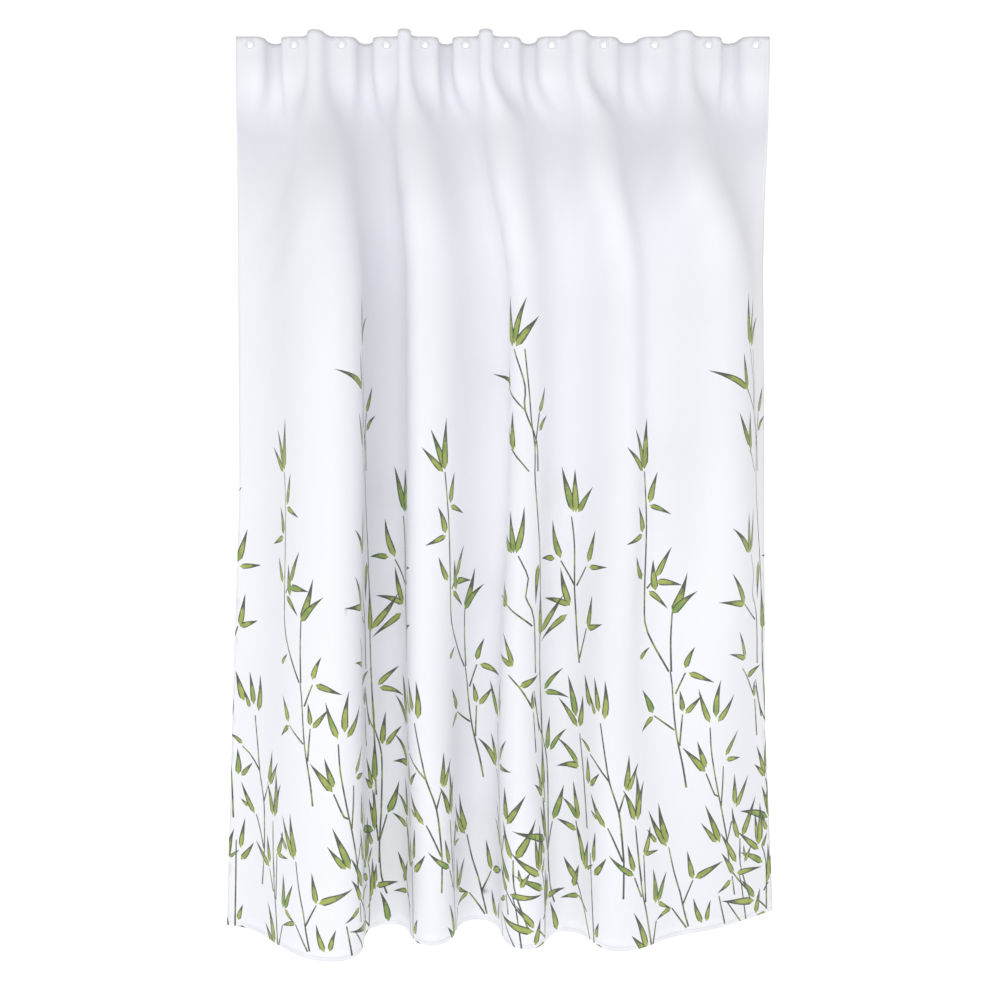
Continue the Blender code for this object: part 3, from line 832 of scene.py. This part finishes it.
class CURTAIN_OT_cloth(bpy.types.Operator):
    """The printed cloth, with a hole for each eyelet"""

    bl_idname = "curtain.cloth"
    bl_label = "Printed cloth"

    def execute(self, context):
        drop = sizes().drop
        fine = sizes().rows // 2
        rows = grid(0.0, FINE_ABOVE * drop, sizes().rows - fine) + grid(FINE_ABOVE * drop, drop, fine)[1:]
        face = material("printed satin", printed_cloth, 1.0)
        reverse = material("printed satin reverse", printed_cloth, REVERSE_INK)
        piece = cut_cloth(
            "printed_cloth",
            grid(0.0, sizes().width, sizes().columns),
            rows,
            holes=barrel_holes(),
            parts=print_parts(),
            materials=(face, reverse),
        )
        soft(piece, "cloth_panel", finish="printed_cloth")
        _made["cloth"] = piece
        return {"FINISHED"}


class CURTAIN_OT_header_tape(bpy.types.Operator):
    """The woven tape behind the top edge, that the eyelets are pressed through"""

    bl_idname = "curtain.header_tape"
    bl_label = "Header tape"

    def execute(self, context):
        top = sizes().drop - TAPE_BELOW_TOP
        piece = cut_cloth(
            "header_tape_woven",
            grid(TAPE_FROM_EDGE, sizes().width - TAPE_FROM_EDGE, TAPE_GRID[0]),
            grid(top - TAPE_DEEP, top, TAPE_GRID[1]),
            back=LAYER_BACK,
            holes=barrel_holes(),
            thick=TAPE_THICK,
            materials=(material("tape weave", plain_cloth, TAPE_WHITE, 0.4),),
        )
        sewn(piece, "header_tape", finish="tape")
        return {"FINISHED"}


class CURTAIN_OT_hems(bpy.types.Operator):
    """The two side hems and the bottom hem with the weight cord in it"""

    bl_idname = "curtain.hems"
    bl_label = "Hems and weight cord"

    def execute(self, context):
        cloth = material("hem satin", plain_cloth, tuple(colours().cloth))
        width, drop = sizes().width, sizes().drop
        top = drop - TAPE_BELOW_TOP - TAPE_DEEP - HEM_GAP
        for side, start in (("left", HEM_INSET), ("right", width - SIDE_HEM_WIDE - HEM_INSET)):
            piece = cut_cloth(
                f"{side}_side_hem_turned",
                grid(start, start + SIDE_HEM_WIDE, SIDE_HEM_GRID[0]),
                grid(BOTTOM_HEM_DEEP + HEM_GAP, top, SIDE_HEM_GRID[1]),
                back=LAYER_BACK,
                materials=(cloth,),
            )
            sewn(piece, f"{side}_side_hem", finish="hem_cloth")
        piece = cut_cloth(
            "bottom_hem_turned",
            grid(0.0, width, BOTTOM_HEM_GRID[0]),
            grid(HEM_INSET, BOTTOM_HEM_DEEP, BOTTOM_HEM_GRID[1]),
            back=hem_back,
            materials=(cloth,),
        )
        sewn(piece, "bottom_hem", finish="hem_cloth")
        sewn(weight_cord(), "hem_weight_cord", finish="weight_cord")
        return {"FINISHED"}


def hem_back(h):
    """How far the bottom hem's turned layer lies behind the cloth: it bulges over the weight cord."""
    return LAYER_BACK + HEM_BULGE * np.exp(-(((h - CORD_ABOVE_EDGE) / HEM_BULGE_WIDE) ** 2))


def weight_cord():
    """The weight cord: a thin tube along the inside of the bottom hem."""
    line = np.linspace(CORD_FROM_SIDE, sizes().width - CORD_FROM_SIDE, CORD_RINGS)
    z = np.full_like(line, TOP_TO_EYELET - sizes().drop + CORD_ABOVE_EDGE)
    middle = folds().hang(line, z, CORD_BACK)
    slope = folds().read(folds().slope, line, (TOP_TO_EYELET - z) / sizes().drop)
    turns = np.linspace(0, 2 * pi, CORD_SIDES, endpoint=False)
    away = np.stack([np.sin(slope), np.cos(slope), np.zeros_like(slope)], axis=1)
    rings = [middle + CORD_R * (cos(a) * away + sin(a) * np.array([0, 0, 1.0])) for a in turns]
    points = np.stack(rings, axis=1).reshape(-1, 3)
    starts = range(0, len(points) - CORD_SIDES, CORD_SIDES)
    pairs = [(k, (k + 1) % CORD_SIDES) for k in range(CORD_SIDES)]
    faces = [(r + a, r + b, r + CORD_SIDES + b, r + CORD_SIDES + a) for r in starts for a, b in pairs]
    faces += [tuple(range(CORD_SIDES))[::-1], tuple(range(len(points) - CORD_SIDES, len(points)))]
    piece = closed_piece("weight_cord_tube", points, faces)
    piece.data.materials.append(material("cord braid", thread, CORD_WHITE))
    return piece


def closed_piece(name, points, faces):
    """A closed mesh with its faces outwards."""
    mesh = bpy.data.meshes.new(name)
    mesh.from_pydata(np.asarray(points).tolist(), [], faces)
    shape = bmesh.new()
    shape.from_mesh(mesh)
    bmesh.ops.recalc_face_normals(shape, faces=shape.faces)
    if shape.calc_volume(signed=True) < 0:
        bmesh.ops.reverse_faces(shape, faces=shape.faces)
    for face in shape.faces:
        face.smooth = True
    shape.to_mesh(mesh)
    shape.free()
    return in_scene(name, mesh)


class CURTAIN_OT_care_label(bpy.types.Operator):
    """The blank care label, sewn to the left side hem"""

    bl_idname = "curtain.care_label"
    bl_label = "Care label"

    def execute(self, context):
        start = SIDE_HEM_WIDE - LABEL_ON_HEM
        piece = cut_cloth(
            "care_label_sewn_in",
            grid(start, start + LABEL_WIDE, LABEL_GRID[0]),
            grid(LABEL_ABOVE_HEM, LABEL_ABOVE_HEM + LABEL_HIGH, LABEL_GRID[1]),
            back=LABEL_BACK,
            thick=LABEL_THICK,
            materials=(material("label satin", plain_cloth, LABEL_WHITE),),
        )
        sewn(piece, "care_label", finish="label")
        return {"FINISHED"}


class CURTAIN_OT_stitching(bpy.types.Operator):
    """Rows of stitches that hold the tape and the hems"""

    bl_idname = "curtain.stitching"
    bl_label = "Stitching"

    def execute(self, context):
        width, drop = sizes().width, sizes().drop
        top = drop - TAPE_BELOW_TOP
        across = (STITCH_FROM_SIDE, width - STITCH_FROM_SIDE)
        rows = {
            "hem_stitches": [((s, BOTTOM_HEM_DEEP - 0.0014) for s in steps(*across))],
            "tape_stitches": [
                ((s, top - 0.002) for s in steps(*across)),
                ((s, top - TAPE_DEEP + 0.002) for s in steps(*across)),
            ],
            "side_stitches": [
                ((s, h) for h in steps(BOTTOM_HEM_DEEP + 0.004, top - TAPE_DEEP - 0.003))
                for s in (SIDE_HEM_WIDE - 0.002, width - SIDE_HEM_WIDE + 0.002)
            ],
        }
        for name, lines in rows.items():
            piece = stitches(name, [list(line) for line in lines])
            piece.data.materials.append(material("white thread", thread, THREAD_WHITE))
            sewn(piece)
        return {"FINISHED"}


def steps(start, end):
    """Places one stitch apart."""
    return np.arange(start, end, sizes().stitch)


def stitches(name, lines):
    """Small stitches on the face and the back of the cloth along these flat lines."""
    points, faces = [], []
    for line in lines:
        line = np.array(line)
        step = (line[1] - line[0]) * THREAD_SHARE
        across = np.array([-step[1], step[0]])
        across = across / hypot(*across) * THREAD_R
        for side, out in ((-1, 0.0002), (1, 0.0009)):  # the cloth's face, then the back of its layers
            ends = [flat_hang(line + shift, side * out) for shift in (-step, across, step, -across)]
            over = flat_hang(line, side * (out + THREAD_R * 1.6))
            under = flat_hang(line, side * (out - THREAD_R))
            for k in range(len(line)):
                base = len(points)
                points += [*(end[k] for end in ends), over[k], under[k]]
                faces += [(base + a, base + (a + 1) % 4, base + top) for a in range(4) for top in (4, 5)]
    return closed_piece(name, points, faces)


def flat_hang(places, back):
    """Where points of the flat cloth hang, from how far they are along it and above its lower edge."""
    z = places[:, 1] - sizes().drop + TOP_TO_EYELET
    return folds().hang(places[:, 0], z, back)


def turned(name, profile, finish):
    """A ring turned from a profile, drawn out ring by ring, closed, and tipped so its top faces forward."""
    bpy.ops.object.select_all(action="DESELECT")
    radius, height = profile[0]
    bpy.ops.mesh.primitive_circle_add(vertices=RING_SIDES, radius=radius, location=(0, 0, height))
    piece = bpy.context.active_object
    piece.name = name
    bpy.ops.object.transform_apply(location=True, rotation=True, scale=True)
    bpy.ops.object.mode_set(mode="EDIT")
    bpy.ops.mesh.select_all(action="SELECT")
    for next_radius, next_height in profile[1:]:
        bpy.ops.mesh.extrude_edges_move(TRANSFORM_OT_translate={"value": (0, 0, next_height - height)})
        scale = next_radius / radius
        bpy.ops.transform.resize(value=(scale, scale, 1), center_override=(0, 0, next_height))
        radius, height = next_radius, next_height
    bpy.ops.mesh.select_all(action="DESELECT")
    bpy.ops.mesh.select_mode(type="EDGE")
    bpy.ops.mesh.select_non_manifold()
    bpy.ops.mesh.bridge_edge_loops()
    bpy.ops.mesh.select_all(action="SELECT")
    bpy.ops.mesh.normals_make_consistent(inside=False)
    bpy.ops.object.mode_set(mode="OBJECT")
    piece.rotation_euler = (radians(90), 0, 0)
    bpy.ops.object.transform_apply(location=True, rotation=True, scale=True)
    bpy.ops.object.shade_smooth_by_angle(angle=radians(RING_SMOOTH_ANGLE))
    piece.data.materials.clear()
    piece.data.materials.append(finish)
    return piece


class CURTAIN_OT_eyelets(bpy.types.Operator):
    """Twelve eyelets, each a grommet pressed into its washer"""

    bl_idname = "curtain.eyelets"
    bl_label = "Eyelets"

    def execute(self, context):
        finish = material("white plastic", moulded_plastic, tuple(colours().eyelet))
        for kind, profile in (("grommet", GROMMET), ("washer", WASHER)):
            pattern = turned(f"{kind}_pattern", profile, finish)
            for i in range(EYELETS):
                node = f"eyelet_{i + 1:02d}_{kind}"
                low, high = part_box(node)
                middle = (low + high) / 2
                piece = in_scene(f"{node}_moulded", pattern.data.copy())
                piece.data.transform(Matrix.Translation((middle.x, 0.0, middle.z)))
                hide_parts(node)
                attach(piece, "curtain" if i == 0 else f"eyelet_{i + 1:02d}")
            bpy.data.objects.remove(pattern)
        return {"FINISHED"}


def softbox(name):
    """The studio's one lamp."""
    light = bpy.data.lights.new(name, "AREA")
    light.shape = "RECTANGLE"
    light.size, light.size_y = LAMP_SIZE
    light.energy = LAMP_WATTS
    lamp = in_scene(name, light)
    lamp.location = LAMP_PLACE
    lamp.rotation_euler = (Vector(LAMP_TARGET) - Vector(LAMP_PLACE)).to_track_quat("-Z", "Y").to_euler()


class CURTAIN_OT_stage(bpy.types.Operator):
    """A white studio with soft light, and the camera"""

    bl_idname = "curtain.stage"
    bl_label = "Stage"

    def execute(self, context):
        scene = context.scene
        bpy.ops.object.select_all(action="DESELECT")
        floor_z = TOP_TO_EYELET - sizes().drop - FLOOR_BELOW
        bpy.ops.mesh.primitive_plane_add(size=FLOOR_SIZE, location=(0, 0, floor_z))
        floor = context.active_object
        floor.name = "studio_floor"
        paper, shader = new_material("studio paper")
        shader.inputs["Base Color"].default_value = (FLOOR_GREY, FLOOR_GREY, FLOOR_GREY, 1)
        shader.inputs["Roughness"].default_value = 0.9
        shader.inputs["Emission Color"].default_value = (1, 1, 1, 1)
        shader.inputs["Emission Strength"].default_value = FLOOR_GLOW
        floor.data.materials.append(paper)
        world = bpy.data.worlds.new("studio")
        world.use_nodes = True
        sky = world.node_tree.nodes["Background"]
        sky.inputs["Color"].default_value = (1.0, 1.0, 1.0, 1)
        Paint.tree = world.node_tree
        seen = Paint(Paint.node("ShaderNodeLightPath").outputs["Is Camera Ray"])
        link(sky, "Strength", SKY_LIGHT + seen * SKY_SEEN)
        scene.world = world
        softbox("front softbox")
        camera = in_scene("camera", bpy.data.cameras.new("camera"))
        camera.location = CAMERA_PLACE
        camera.rotation_euler = (radians(90 - CAMERA_DOWN), 0, 0)
        camera.data.lens = CAMERA_LENS
        camera.data.shift_y = CAMERA_SHIFT
        scene.camera = camera
        scene.view_settings.view_transform = "Standard"
        return {"FINISHED"}


OPERATORS = (
    CURTAIN_OT_cloth,
    CURTAIN_OT_header_tape,
    CURTAIN_OT_hems,
    CURTAIN_OT_care_label,
    CURTAIN_OT_stitching,
    CURTAIN_OT_eyelets,
    CURTAIN_OT_stage,
)


class CURTAIN_PT_panel(bpy.types.Panel):
    """The curtain's sizes, colours and pieces"""

    bl_idname = "CURTAIN_PT_panel"
    bl_label = "Curtain"
    bl_space_type = "VIEW_3D"
    bl_region_type = "UI"
    bl_category = "Curtain"

    def draw(self, context):
        for group in (context.scene.curtain_sizes, context.scene.curtain_colours):
            for name in group.bl_rna.properties.keys():
                if name not in ("rna_type", "name"):
                    self.layout.prop(group, name)
        for operator in OPERATORS:
            self.layout.operator(operator.bl_idname)


CLASSES = (CurtainSizes, CurtainColours, *OPERATORS, CURTAIN_PT_panel)


def register():
    for cls in CLASSES:
        bpy.utils.register_class(cls)
    bpy.types.Scene.curtain_sizes = PointerProperty(type=CurtainSizes)
    bpy.types.Scene.curtain_colours = PointerProperty(type=CurtainColours)


def unregister():
    del bpy.types.Scene.curtain_colours
    del bpy.types.Scene.curtain_sizes
    for cls in reversed(CLASSES):
        bpy.utils.unregister_class(cls)


def main():
    register()
    for operator in OPERATORS:
        group, name = operator.bl_idname.split(".")
        getattr(getattr(bpy.ops, group), name)()
    bpy.context.view_layer.update()


if __name__ == "__main__":
    main()
